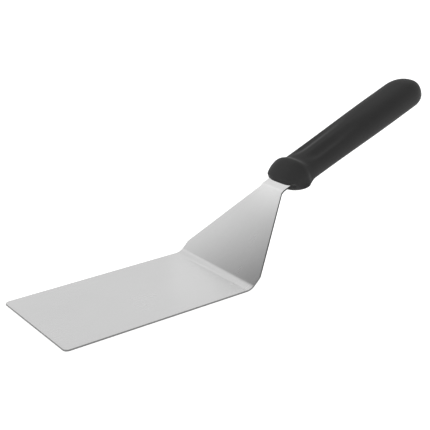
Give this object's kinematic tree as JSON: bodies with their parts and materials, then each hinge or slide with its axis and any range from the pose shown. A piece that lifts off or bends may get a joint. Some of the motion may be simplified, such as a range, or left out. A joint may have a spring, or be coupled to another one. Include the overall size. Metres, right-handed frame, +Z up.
{
  "type": "grill spatula",
  "caption": "Offset grill spatula: a flat rectangular steel turning blade, a bent tapered neck and a moulded black plastic handle with a bolster.",
  "frame": {"origin": "centre of the blade's flat underside, halfway between its front edge and the corner of the lower bend", "axes": "+X from the front edge towards the handle, +Z up out of the blade's top face, +Y across the blade"},
  "size_m": [0.3042, 0.076, 0.1],
  "materials": {
    "blade_steel": "fine satin mill finish",
    "handle_plastic": "black moulded polypropylene, fine semi-matte texture"
  },
  "bodies": {
    "root": {"blade": "blade_steel", "handle": "handle_plastic"}
  },
  "joints": []
}
